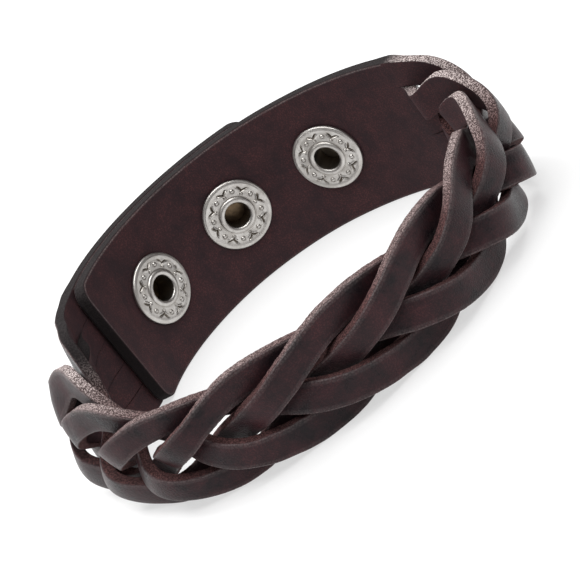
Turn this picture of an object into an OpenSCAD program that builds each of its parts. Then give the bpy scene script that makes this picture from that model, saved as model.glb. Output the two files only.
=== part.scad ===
// Braided leather bracelet: one strap, cut into five strands between its two plain tabs.
// The strands are plaited over two and under two, and the tabs overlap in a snap closure.
// The bracelet is fastened and lies on its side: X is its longest way, Z its height.

/* [Strap] */
// Width of the strap at its tabs
strap_w = 20; // [18:0.5:22]
// Thickness of the leather
leather_t = 1.8; // [1.6:0.1:1.9]
// Radius of the two corners at each free end
corner_r = 2.4; // [1:0.2:4]
// Length of the loop along the face where the two tabs meet
loop_len = 180; // [170:1:190]

/* [Closure] */
// Free end of the inner tab, measured along the loop
inner_end = 5.6; // [5:0.2:8]
// Distance from the inner tab's free end to its first snap
first_snap = 13.5; // [12:0.1:15]
// Distance from one snap to the next
snap_step = 16.3; // [15.5:0.1:17]
// Distance from the second snap to the outer tab's free end
outer_lap = 8.3; // [7:0.1:9]
// Diameter of the eyelet flanges that show on the inside
eyelet_d = 9.7; // [9.4:0.1:10]
// Diameter of the domed caps on the outside
cap_d = 12; // [11:0.5:12.5]

/* [Plait] */
// Where the strands leave the inner tab, measured along the loop
plait_from = 70; // [69:0.5:72]
// Where the strands reach the outer tab
plait_to = 188; // [187:0.5:190]
// Width of one strand
strand_w = 3.6; // [3.4:0.05:3.6]
// Height of the finished plait
plait_h = 13.6; // [13.6:0.1:14]
// How far a strand swings out of the middle of the plait
swing = 2.1; // [2.05:0.05:2.2]
// How far the loose strands bow outwards beside the outer tab
bow = 5.2; // [4:0.2:5.4]

/* [Hidden] */
$fn = 96;

// The loop runs clockwise, seen from above, through six arcs that meet smoothly
TURN = 0;
BEND = 1;
// Columns: degrees turned, radius at a loop 180 long; the last two radii close the loop
ARCS = [[107, 26.2],     // left and middle of the closure
        [48.5, 37.3],    // right side
        [51, 16],        // right near corner
        [81.5, 37.4],    // near side, all plait
        [66.5, 0],       // left near corner
        [5.5, 0]];       // left side
first_heading = 78.7;
nominal_len = 180.2;
// Middle of the finished bracelet, seen from the start of the first arc
middle = [24.46, -6.76];

// Distances from the loop's own line: the inner tab lies inside it, the outer tab outside
tab_gap = 0.15;
inner_face = -leather_t;
outer_back = tab_gap;
outer_face = tab_gap + leather_t;
joint_gap = 0.1;

size_ratio = loop_len / nominal_len;
n_arcs = len(ARCS);

// Heading at the start of arc i, in degrees
function heading(i) = i == 0 ? first_heading : heading(i - 1) - ARCS[i - 1][TURN];
// Way from one end of an arc of radius 1 to the other
function chord(i) = [sin(heading(i)) - sin(heading(i + 1)),
                     cos(heading(i + 1)) - cos(heading(i))];
function open_way(i) = i < 0 ? [0, 0] : open_way(i - 1) + ARCS[i][BEND] * chord(i);
function cross2(a, b) = a[0] * b[1] - a[1] * b[0];

// The two closing radii solve: last chords times their radii undo the way so far
gap_way = -open_way(n_arcs - 3);
chord_a = chord(n_arcs - 2);
chord_b = chord(n_arcs - 1);
radius_a = cross2(gap_way, chord_b) / cross2(chord_a, chord_b);
radius_b = cross2(chord_a, gap_way) / cross2(chord_a, chord_b);
RADII = [for (i = [0 : n_arcs - 1])
    size_ratio * (i == n_arcs - 2 ? radius_a : i == n_arcs - 1 ? radius_b : ARCS[i][BEND])];

function arc_len(i) = RADII[i] * ARCS[i][TURN] * PI / 180;
function len_to(i) = i == 0 ? 0 : len_to(i - 1) + arc_len(i - 1);
function start_of(i) = i == 0 ? -middle * size_ratio : start_of(i - 1) + RADII[i - 1] * chord(i - 1);
STARTS = [for (i = [0 : n_arcs]) start_of(i)];
LENS = [for (i = [0 : n_arcs]) len_to(i)];
HEADS = [for (i = [0 : n_arcs]) heading(i)];
total_len = LENS[n_arcs];

// The arc that holds the place s along the loop
function wrap(s) = s - total_len * floor(s / total_len);
function arc_at(s, i = 0) = i == n_arcs - 1 || s < LENS[i + 1] ? i : arc_at(s, i + 1);
function heading_in(s, i) = HEADS[i] - (s - LENS[i]) / RADII[i] * 180 / PI;
function centre_of(i) = STARTS[i] + RADII[i] * [sin(HEADS[i]), -cos(HEADS[i])];
function heading_at(s) = heading_in(wrap(s), arc_at(wrap(s)));
function point_in(a, i, h) = centre_of(i) + (RADII[i] + h) * [-sin(a), cos(a)];
// Point at the distance h outside the loop's line, at the place s and the height z
function loop_point(s, h, z) =
    let (w = wrap(s), i = arc_at(w), p = point_in(heading_in(w, i), i, h)) [p[0], p[1], z];

// The plait: each strand swings up and down once in five steps
n_strands = 5;
step_angle = 360 / n_strands;
first_step = -0.49;
last_step = 10.07;
crest_step = 0.815;
end_haste = 0.28;
free_step = 0;
sharpness = 0.045;
flatness = 0.28;
// Way from each tab over which the strands leave their places in it
lead_out = 7.5;
climb_from = 1;
climb_in = 9.8;
stay_out = 6.9;
climb_out = 9.4;
swing_in = 6.5;
swing_out = 10.5;
lie_flat = 3.2;
// Towards its ends the plait is higher and fuller, and its strands a little narrower
end_reach = 24.4;
end_width = 3.15;
end_swing = 2.26;
end_crest = 1.09;
shear = 0.63;
end_shear = 0.33;
// The plait settles on the strap's lower edge over these ways from its two ends
settle_in = 45;
settle_out = 28;
// The loose stretch beside the outer tab, and how much wider and higher the strands swing there
loose_from = 157;
loose_mid = 177.4;
loose_swing = 0.57;
loose_out = 0.35;
loose_rise = 2.6;
rise_from = 150;
rise_in = 20;
rise_to = 187;
rise_out = 9;
// The top strand lies close beside the outer tab, from this place and this height on
calm_from = 175;
calm_in = 4;
calm_above = 13;
calm_over = 3;
calm_pull = 1.1;
slot_w = strap_w / n_strands;
// Plaiting presses the strands a little thinner than the tabs
strand_t = leather_t - 0.32;
crest = (plait_h - strand_w) / 2;
drop = (strap_w - plait_h) / 2;
rings = 150;

function clamp(x) = min(1, max(0, x));
function smooth(x) = let (c = clamp(x)) c * c * (3 - 2 * c);
function share(s) = clamp((s - plait_from) / (plait_to - lead_out - plait_from));
// How near s is to an end of the plait, from 0 in the middle to 1 at a tab
function near_end(s) =
    2 - smooth((s - plait_from - 4) / end_reach) - smooth((plait_to - 4 - s) / end_reach);
function mix(a, b, share_b) = a + (b - a) * share_b;
// Steps done at s: quicker near the tabs than on the near side
function steps_at(s) =
    let (t = share(s))
    first_step + (last_step - first_step) * (t + end_haste * sin(360 * t) / (2 * PI));
function phase(k, step) = step_angle * (step - crest_step + k);
function phase_at(k, s) = phase(k, steps_at(s));
function wave(a) = (cos(a) + sharpness * cos(3 * a)) / (1 + sharpness);
// A strand's place across the tab is its rank among the five at that end
function rank(k, step) =
    len([for (j = [0 : n_strands - 1]) if (wave(phase(j, step)) < wave(phase(k, step))) j]);
RANKS = [for (step = [free_step, last_step]) [for (k = [0 : n_strands - 1]) rank(k, step)]];
function slot_z(k, s) = (RANKS[share(s) < 0.5 ? 0 : 1][k] - (n_strands - 1) / 2) * slot_w;
// Height of a strand's middle; the plait hangs down to the strap's lower edge on the near side
function in_plait(s) =
    smooth((s - plait_from - climb_from) / climb_in) * smooth((plait_to - stay_out - s) / climb_out);
function settled(s) = smooth((s - plait_from) / settle_in) * smooth((plait_to - s) / settle_out);
function rise_at(s) =
    loose_rise * smooth((s - rise_from) / rise_in) * smooth((rise_to - s) / rise_out);
function strand_z(k, s) =
    let (w = wave(phase_at(k, s)))
    strap_w / 2 + (1 - in_plait(s)) * slot_z(k, s)
        + in_plait(s) * ((crest + end_crest * near_end(s)) * w + rise_at(s) * max(0, w) - drop * settled(s));
// The loose strands bow outwards, the low ones most
function looseness(s) =
    smooth((s - loose_from) / (loose_mid - loose_from)) * smooth((plait_to - s) / (plait_to - loose_mid));
function bow_at(s, z) = (bow * (1 - z / strap_w) + loose_out) * looseness(s);
function calm_at(s, z) = smooth((s - calm_from) / calm_in) * smooth((z - calm_above) / calm_over);
function middle_h(s, z) =
    mix(inner_face / 2, (outer_back + outer_face) / 2, smooth(share(s))) + bow_at(s, z);
// Distance of strand k from the loop's line at the point s, z of its face
function strand_h(k, s, z) =
    let (shift = mix(shear, end_shear, near_end(s)) * (z - strand_z(k, s)) * sin(phase_at(k, s)),
         a = phase_at(k, s - shift),
         f = sin(2 * a) - flatness * sin(4 * a),
         over = f + (loose_swing * looseness(s) - calm_at(s, z)) * max(0, f),
         held = smooth((s - plait_from) / swing_in) * smooth((plait_to - lie_flat - s) / swing_out))
    middle_h(s, z) + (mix(swing, end_swing, near_end(s)) * over - calm_pull * calm_at(s, z)) * held;
function half_width(s) = mix(strand_w, end_width, near_end(s)) / 2;

// The four corners of strand k's section at s, as points s, h, z
function strand_edge(k, s, side) =
    let (slope = atan((strand_z(k, s + 0.1) - strand_z(k, s - 0.1)) / 0.2),
         es = s - side * half_width(s) * sin(slope),
         ez = strand_z(k, s) + side * half_width(s) * cos(slope),
         hs = (strand_h(k, es + 0.1, ez) - strand_h(k, es - 0.1, ez)) / 0.2,
         hz = (strand_h(k, es, ez + 0.1) - strand_h(k, es, ez - 0.1)) / 0.2,
         n = [-hs, 1, -hz] / norm([-hs, 1, -hz]))
    [[es, strand_h(k, es, ez), ez], n];
function strand_corner(k, s, side, face) =
    let (e = strand_edge(k, s, side), p = e[0] + face * strand_t / 2 * e[1])
    loop_point(p[0], p[1], p[2]);
CORNERS = [[1, 1], [-1, 1], [-1, -1], [1, -1]];

module strand(k) {
    from = plait_from + joint_gap;
    to = plait_to - joint_gap;
    points = [for (r = [0 : rings], c = CORNERS)
        strand_corner(k, from + (to - from) * r / rings, c[0], c[1])];
    sides = [for (r = [0 : rings - 1], c = [0 : 3])
        let (a = 4 * r + c, b = 4 * r + (c + 1) % 4)
        each [[a, b, a + 4], [b, b + 4, a + 4]]];
    last = 4 * rings;
    ends = [[3, 2, 1, 0], [last, last + 1, last + 2, last + 3]];
    polyhedron(points = points, faces = concat(sides, ends));
}

// A stretch of the strap from s1 to s2, between the distances h1 and h2 from the loop's line
wall_step = 1;
module wall(s1, s2, h1, h2) {
    n = ceil((s2 - s1) / wall_step);
    outside = [for (i = [0 : n]) loop_point(s1 + (s2 - s1) * i / n, h2, 0)];
    inside = [for (i = [n : -1 : 0]) loop_point(s1 + (s2 - s1) * i / n, h1, 0)];
    linear_extrude(height = strap_w)
        polygon([for (p = concat(outside, inside)) [p[0], p[1]]]);
}

// Local frame at s: +Z points away from the wrist, +X down and +Y back along the strap
module at_loop(s, z) {
    translate(loop_point(s, 0, z))
        rotate([0, 90, heading_at(s) + 90])
            children();
}

// What is cut off a free end to round its corners; way is the side that is cut away
module corner_cuts(s, way) {
    reach = corner_r + 4;
    for (up = [-1, 1])
        at_loop(s - way * corner_r, strap_w / 2 + up * (strap_w / 2 - corner_r))
            difference() {
                translate([up > 0 ? -reach : 0, way > 0 ? -reach : 0, -reach])
                    cube([reach, reach, 2 * reach]);
                cylinder(r = corner_r, h = 3 * reach, center = true);
            }
}

// The snaps, as radii and as distances along their own axis from the loop's line
snap_z = strap_w / 2;
bore_r = 1.75;
barrel_r = 2.1;
knob_r = 2.9;
neck_r = 2.6;
plate_r = 4.4;
cup_r = 3.6;
fit = 0.1;
plate_t = 0.5;
flange_t = 0.45;
collar_r = 2.55;
collar_rise = 0.3;
knob_top = 0.95;
// The stud's knob is closed on top, and the eyelet's barrel ends under it
knob_lid = 0.2;
barrel_top = knob_top - knob_lid - 0.1;
socket_top = 1.4;
socket_from = 0.2;
seat_depth = 0.65;
seat_cut = 0.03;
cap_seat = 1.5;
cap_rise = 1.5;
post_r = 0.9;
scallops = 9;

function snap_s(i) = inner_end + first_snap + (i - 1) * snap_step;
module at_snap(i) {
    at_loop(snap_s(i), snap_z)
        children();
}

module inner_tab() {
    color([0.16, 0.10, 0.10])
        difference() {
            wall(inner_end, plait_from, inner_face, 0);
            corner_cuts(inner_end, -1);
            for (i = [1 : 3])
                at_snap(i) {
                    cylinder(r = barrel_r + fit, h = 12, center = true);
                    translate([0, 0, -seat_depth])
                        cylinder(r = plate_r + fit, h = 4);
                    translate([0, 0, inner_face - 4])
                        cylinder(r = eyelet_d / 2 + fit, h = 4 + seat_cut);
                }
        }
}

module outer_tab() {
    end = snap_s(2) + outer_lap;
    color([0.15, 0.10, 0.10])
        difference() {
            wall(plait_to, total_len + end, outer_back, outer_face);
            corner_cuts(end, 1);
            for (i = [1, 2])
                at_snap(i) {
                    cylinder(r = cup_r + fit, h = 12, center = true);
                    translate([0, 0, -4])
                        cylinder(r = plate_r + fit, h = 4 + seat_depth + tab_gap);
                    translate([0, 0, cap_seat])
                        cylinder(r = cap_d / 2 + fit, h = 4);
                }
        }
}

// Raised scallops and dots around the flange
module flange_relief() {
    ring_r = (collar_r + eyelet_d / 2) / 2;
    rise = 0.12;
    scallop_r = 0.72;
    for (i = [0 : scallops - 1])
        rotate([0, 0, i * 360 / scallops])
            translate([ring_r, 0, -rise]) {
                difference() {
                    cylinder(r = scallop_r, h = rise + 0.1);
                    translate([0, 0, -1])
                        cylinder(r = scallop_r - 0.24, h = 3);
                    translate([-2, -1, -1])
                        cube([2, 2, 3]);
                }
                rotate([0, 0, 180])
                    translate([0.35, 0, 0])
                        cylinder(r = 0.22, h = rise + 0.1);
            }
}

module eyelet(i) {
    back = inner_face - 0.05;
    face = back - flange_t;
    color([0.78, 0.76, 0.73])
        at_snap(i) {
            rotate_extrude()
                polygon([[bore_r, face - collar_rise + 0.12], [bore_r + 0.12, face - collar_rise],
                         [collar_r - 0.3, face - collar_rise], [collar_r, face - 0.08],
                         [collar_r + 0.1, face], [eyelet_d / 2 - 0.25, face],
                         [eyelet_d / 2, face + 0.2], [eyelet_d / 2, back],
                         [barrel_r, back], [barrel_r, barrel_top], [bore_r, barrel_top]]);
            translate([0, 0, face])
                flange_relief();
        }
}

module stud(i) {
    color([0.74, 0.72, 0.69])
        at_snap(i)
            rotate_extrude()
                polygon([[barrel_r + fit, 0.05 - seat_depth], [plate_r, 0.05 - seat_depth],
                         [plate_r, 0.05 - seat_depth + plate_t], [neck_r, 0.05 - seat_depth + plate_t],
                         [neck_r, 0.45], [knob_r, 0.6], [knob_r, knob_top - 0.2],
                         [knob_r - 0.2, knob_top], [0, knob_top], [0, knob_top - knob_lid],
                         [barrel_r + fit, knob_top - knob_lid]]);
}

module socket(i) {
    color([0.72, 0.70, 0.66])
        at_snap(i)
            rotate_extrude()
                polygon([[knob_r - 0.15, socket_from], [plate_r, socket_from],
                         [plate_r, socket_from + plate_t], [cup_r, socket_from + plate_t],
                         [cup_r, socket_top], [post_r + fit, socket_top],
                         [post_r + fit, knob_top + fit], [knob_r + fit, knob_top + fit],
                         [knob_r + fit, 0.52], [knob_r - 0.15, 0.4]]);
}

// A domed shell with a rolled rim, and its post in the socket
module cap(i) {
    rim = 0.45;
    dome_r = (pow(cap_d / 2 - rim, 2) + pow(cap_rise - rim, 2)) / (2 * (cap_rise - rim));
    color([0.77, 0.75, 0.72])
        at_snap(i)
            translate([0, 0, cap_seat + 0.05]) {
                translate([0, 0, knob_top + 2 * fit - cap_seat])
                    cylinder(r = post_r, h = cap_seat - knob_top + rim);
                rotate_extrude()
                    translate([cap_d / 2 - rim, rim])
                        circle(r = rim);
                cylinder(r = cap_d / 2 - rim, h = 2 * rim);
                intersection() {
                    translate([0, 0, cap_rise - dome_r])
                        sphere(r = dome_r);
                    cylinder(r = cap_d / 2 - rim, h = cap_rise);
                }
            }
}

module leather_strand(k) {
    color([0.19, 0.13, 0.13])
        strand(k);
}

inner_tab();
outer_tab();
leather_strand(0);  // strand_1
leather_strand(1);  // strand_2
leather_strand(2);  // strand_3
leather_strand(3);  // strand_4
leather_strand(4);  // strand_5
eyelet(1);  // eyelet_1
eyelet(2);  // eyelet_2
eyelet(3);  // eyelet_3
stud(1);  // stud_1
stud(2);  // stud_2
stud(3);  // stud_3
socket(1);  // socket_1
socket(2);  // socket_2
cap(1);  // cap_1
cap(2);  // cap_2
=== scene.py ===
"""Looks of a braided leather bracelet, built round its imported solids.

The strap runs clockwise along one closed line of six arcs. Every leather surface is a grid
in the strap's own coordinates: s along the line, h outwards from it and z up the width.
Lengths in the classes are millimetres, and the meshes are metres.
"""

import logging
from dataclasses import dataclass
from enum import Enum

import bpy
import numpy as np
from mathutils import Matrix, Vector

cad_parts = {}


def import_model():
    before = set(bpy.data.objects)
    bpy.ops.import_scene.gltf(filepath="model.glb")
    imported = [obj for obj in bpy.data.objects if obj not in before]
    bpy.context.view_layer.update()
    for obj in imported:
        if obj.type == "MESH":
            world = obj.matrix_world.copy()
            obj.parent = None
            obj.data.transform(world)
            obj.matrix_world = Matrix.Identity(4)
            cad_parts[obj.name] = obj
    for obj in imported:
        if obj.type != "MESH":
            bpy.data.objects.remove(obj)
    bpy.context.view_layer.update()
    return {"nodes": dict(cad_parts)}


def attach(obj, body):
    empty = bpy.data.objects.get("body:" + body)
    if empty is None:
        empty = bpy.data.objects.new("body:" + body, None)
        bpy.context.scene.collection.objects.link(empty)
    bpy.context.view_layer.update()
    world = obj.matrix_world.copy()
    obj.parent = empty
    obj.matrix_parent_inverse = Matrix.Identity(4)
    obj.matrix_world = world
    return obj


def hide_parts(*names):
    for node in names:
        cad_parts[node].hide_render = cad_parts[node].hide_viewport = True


LOG = logging.getLogger("bracelet")
MM = 0.001
WHITE = (1.0, 1.0, 1.0, 1.0)

Colour = tuple[float, float, float]
Pair = tuple[float, float]


def clamp(x: np.ndarray) -> np.ndarray:
    """The values cut off at 0 and 1."""
    return np.clip(x, 0.0, 1.0)


def smooth(x: np.ndarray) -> np.ndarray:
    """An even rise from 0 to 1: three times the square less twice the cube."""
    c = clamp(np.asarray(x, dtype=float))
    return c * c * (3.0 - 2.0 * c)


def mix(a: np.ndarray, b: np.ndarray, share: np.ndarray) -> np.ndarray:
    """The value at that share of the way from a to b."""
    return a + (b - a) * share


def bump(x: np.ndarray, middle: float, width: float) -> np.ndarray:
    """A bell of height 1: e to the minus square of the distance from the middle over the width."""
    return np.exp(-(((x - middle) / width) ** 2))


def quarter_fall(radius: np.ndarray, depth: np.ndarray) -> np.ndarray:
    """How far a rounded edge falls at that distance in from it: a quarter circle."""
    into = np.maximum(radius - depth, 0.0)
    return radius - np.sqrt(np.maximum(radius**2 - into**2, 0.0))


def wander(shape: tuple[int, int], coarse: tuple[int, int], seed: int) -> np.ndarray:
    """Soft random waves on a grid: coarse random values, read in between by smooth weights.

    Args:
        shape: Rows and columns of the grid.
        coarse: Number of random values along the rows and the columns.
        seed: Seed of the random values.

    Returns:
        An array of that shape, with values from about -1 to 1.
    """
    rng = np.random.default_rng(seed)
    values = rng.uniform(-1.0, 1.0, (coarse[0] + 2, coarse[1] + 2))
    rows = np.linspace(0.0, coarse[0], shape[0])
    cols = np.linspace(0.0, coarse[1], shape[1])
    i, j = rows.astype(int), cols.astype(int)
    u, v = smooth(rows - i)[:, None], smooth(cols - j)[None, :]
    near = mix(values[np.ix_(i, j)], values[np.ix_(i, j + 1)], v)
    far = mix(values[np.ix_(i + 1, j)], values[np.ix_(i + 1, j + 1)], v)
    return mix(near, far, u)


@dataclass(frozen=True)
class StrapSizes:
    """The strap and its two tabs, in millimetres."""

    width: float = 20.0
    thickness: float = 1.8
    corner: float = 2.4
    loop: float = 180.0
    inner_end: float = 5.6
    tab_gap: float = 0.15
    plait_from: float = 70.0
    plait_to: float = 188.0
    first_snap: float = 13.5
    snap_step: float = 16.3
    outer_lap: float = 8.3
    slit: float = 0.01

    def snap(self, number: int) -> float:
        """Place of a snap along the line, counted from 1."""
        return self.inner_end + self.first_snap + (number - 1) * self.snap_step

    @property
    def outer_end(self) -> float:
        """Place of the outer tab's free end."""
        return self.snap(2) + self.outer_lap


class LoopPlan:
    """The strap's line seen from above: six arcs that meet smoothly and close.

    TURNS holds each arc's turn and FIRST_HEADING the heading at s = 0, in degrees. BENDS
    holds the radii of the first four arcs, NOMINAL the length that they were found for, and
    MIDDLE the box's middle seen from the line's first point, in millimetres.
    """

    TURNS = np.array([107.0, 48.5, 51.0, 81.5, 66.5, 5.5])
    BENDS = np.array([26.2, 37.3, 16.0, 37.4])
    FIRST_HEADING = 78.7
    NOMINAL = 180.2
    MIDDLE = np.array([24.46, -6.76])

    def __init__(self, loop: float) -> None:
        """Solves the last two radii so that the way round ends where it began.

        Args:
            loop: Nominal length of the line in millimetres.
        """
        ends = np.concatenate([[0.0], np.cumsum(self.TURNS)])
        self.heads = np.radians(self.FIRST_HEADING - ends)
        chords = np.stack([-np.diff(np.sin(self.heads)), np.diff(np.cos(self.heads))], axis=1)
        known = len(self.BENDS)
        way = -(self.BENDS[:, None] * chords[:known]).sum(axis=0)
        closing = np.linalg.solve(chords[known:].T, way)
        ratio = loop / self.NOMINAL
        self.radii = ratio * np.concatenate([self.BENDS, closing])
        self.ends = np.concatenate([[0.0], np.cumsum(self.radii * np.radians(self.TURNS))])
        steps = np.cumsum(self.radii[:, None] * chords, axis=0)
        starts = np.concatenate([[[0.0, 0.0]], steps[:-1]]) - self.MIDDLE * ratio
        inward = np.stack([np.sin(self.heads[:-1]), -np.cos(self.heads[:-1])], axis=1)
        self.centres = starts + self.radii[:, None] * inward

    def arc(self, s: np.ndarray) -> tuple[np.ndarray, np.ndarray]:
        """Number of the arc at each s, and the heading there."""
        w = np.asarray(s, dtype=float) % self.ends[-1]
        i = np.clip(np.searchsorted(self.ends, w, side="right") - 1, 0, len(self.TURNS) - 1)
        return i, self.heads[i] - (w - self.ends[i]) / self.radii[i]

    def place(self, s: np.ndarray, h: np.ndarray, z: np.ndarray) -> np.ndarray:
        """Points in metres: from the arc's centre, out by its radius and h, and up by z.

        Args:
            s: Places along the line.
            h: Distances outwards from the line.
            z: Heights.

        Returns:
            Points, with x, y and z along the last axis.
        """
        s, h, z = np.broadcast_arrays(*(np.asarray(v, dtype=float) for v in (s, h, z)))
        i, a = self.arc(s)
        out = np.stack([-np.sin(a), np.cos(a)], axis=-1)
        flat = self.centres[i] + (self.radii[i] + h)[..., None] * out
        return np.concatenate([flat, z[..., None]], axis=-1) * MM

    def axes(self, s: float) -> tuple[np.ndarray, np.ndarray]:
        """Unit vectors along the strap and outwards from it, at one place."""
        _, a = self.arc(np.array(s))
        return np.array([np.cos(a), np.sin(a), 0.0]), np.array([-np.sin(a), np.cos(a), 0.0])

    def bend(self, s: float) -> float:
        """Radius of the line at one place."""
        i, _ = self.arc(np.array(s))
        return float(self.radii[i])


class Mark(Enum):
    """Per-point values that the leather and metal finishes read."""

    FLESH = "flesh"
    CUT = "cut"
    RIM = "rim"
    BURNISH = "burnish"
    RECESS = "recess"


class MeshMaker:
    """Puts whole arrays of points and faces into one Blender mesh."""

    SHARP_FROM = np.radians(50.0)

    @staticmethod
    def volume(points: np.ndarray, quads: np.ndarray) -> float:
        """Signed volume: a sixth of the sum of the triple products of each half quad."""
        a, b, c, d = (points[quads[:, k]] for k in range(4))
        first = np.einsum("ij,ij->i", a, np.cross(b, c))
        second = np.einsum("ij,ij->i", a, np.cross(c, d))
        return float(first.sum() + second.sum()) / 6.0

    @classmethod
    def build(cls, name: str, points: np.ndarray, quads: np.ndarray,
              marks: dict[Mark, np.ndarray]) -> bpy.types.Object:
        """Makes a closed object, smooth but for its sharp corners, whose faces point outwards.

        Args:
            name: Name of the piece.
            points: Points in metres, one row each. Those that no face names are left out.
            quads: Corner numbers of each face. A corner named twice makes a triangle.
            marks: One value per point for each mark.

        Returns:
            The new object, linked to the scene.
        """
        used, again = np.unique(quads, return_inverse=True)
        points, quads = points[used], again.reshape(quads.shape)
        if cls.volume(points, quads) < 0.0:
            quads = quads[:, ::-1]
        keep = quads != np.roll(quads, -1, axis=1)
        totals = keep.sum(axis=1)
        corners = quads[keep]
        mesh = bpy.data.meshes.new(name)
        mesh.vertices.add(len(points))
        mesh.vertices.foreach_set("co", points.astype(np.float32).ravel())
        mesh.loops.add(len(corners))
        mesh.loops.foreach_set("vertex_index", corners.astype(np.int32))
        mesh.polygons.add(len(totals))
        starts = np.concatenate([[0], np.cumsum(totals)[:-1]]).astype(np.int32)
        mesh.polygons.foreach_set("loop_start", starts)
        mesh.update(calc_edges=True)
        mesh.polygons.foreach_set("use_smooth", np.ones(len(totals), dtype=bool))
        mesh.set_sharp_from_angle(angle=cls.SHARP_FROM)
        for mark, values in marks.items():
            layer = mesh.attributes.new(mark.value, "FLOAT", "POINT")
            layer.data.foreach_set("value", values[used].astype(np.float32))
        piece = bpy.data.objects.new(name, mesh)
        bpy.context.scene.collection.objects.link(piece)
        return piece

    @staticmethod
    def tube(rows: int, columns: int) -> np.ndarray:
        """Quads of a grid whose columns close into a ring.

        Args:
            rows: Number of rings.
            columns: Number of points in each ring.

        Returns:
            Quads, whose points are numbered row by row.
        """
        i, j = np.meshgrid(np.arange(rows - 1), np.arange(columns), indexing="ij")
        a, b = i * columns + j, i * columns + (j + 1) % columns
        return np.stack([a, b, b + columns, a + columns], axis=-1).reshape(-1, 4)


@dataclass(frozen=True)
class Leather:
    """Finish of the dyed strap leather: grain side out, flesh side in, raw cut edges.

    top_light_between is a range of heights, over which the cut edges and the rim highlight go from
    painted shade to painted top light, and bump_depth a length, in metres. nap and raw are the
    fineness and the flecks of the flesh side and of the cut edges. Other pairs are the
    two ends of a range, and single values are shares.
    """

    name: str = "strap_leather"
    grain: Colour = (0.0135, 0.0098, 0.0115)
    grain_warm: Colour = (0.037, 0.0155, 0.0185)
    flesh: Colour = (0.029, 0.0170, 0.020)
    flesh_pale: Colour = (0.14, 0.045, 0.045)
    edge: Colour = (0.030, 0.0145, 0.0145)
    edge_pale: Colour = (0.66, 0.57, 0.55)
    # painted shade: colour of the cut edges' flecks low down
    edge_fleck_in_shade: Colour = (0.13, 0.060, 0.058)
    burnished: Colour = (0.011, 0.0085, 0.009)
    # painted light: heights over which cut edges and rims go from painted shade to painted top
    # light
    top_light_between: Pair = (0.0115, 0.0175)
    nap: Pair = (2900.0, 0.50)
    raw: Pair = (3500.0, 0.47)
    grain_specks: Pair = (0.02, 0.22)
    flesh_cloud: float = 0.14
    flesh_specks: Pair = (0.10, 0.34)
    # share of painted top light in the cut edges' own colour high up
    edge_top_light_share: float = 0.06
    edge_flecks: Pair = (0.85, 0.02)
    rim_between: Pair = (0.2, 0.9)
    rim_shine: Pair = (0.05, 0.40)
    # share of the painted rim highlight that is left low down, as painted shade
    rim_share_in_shade: float = 0.3
    grain_roughness: Pair = (0.26, 0.36)
    flesh_roughness: float = 0.72
    edge_roughness: float = 0.88
    grain_bump: float = 0.50
    flesh_bump: float = 0.8
    edge_bump: float = 2.2
    bump_strength: float = 0.5
    bump_depth: float = 0.00012
    specular: float = 0.15


@dataclass(frozen=True)
class SnapMetal:
    """Finish of the satin nickel snap parts; bump_depth is in metres."""

    name: str = "satin_nickel"
    bright: Colour = (0.60, 0.58, 0.555)
    wear_and_top_light: Colour = (0.49, 0.465, 0.435)
    # colour of dirt and painted shade in recesses, creases and down the bores
    recess: Colour = (0.12, 0.090, 0.058)
    roughness: Pair = (0.31, 0.45)
    bump_strength: float = 0.25
    bump_depth: float = 0.00003


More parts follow.
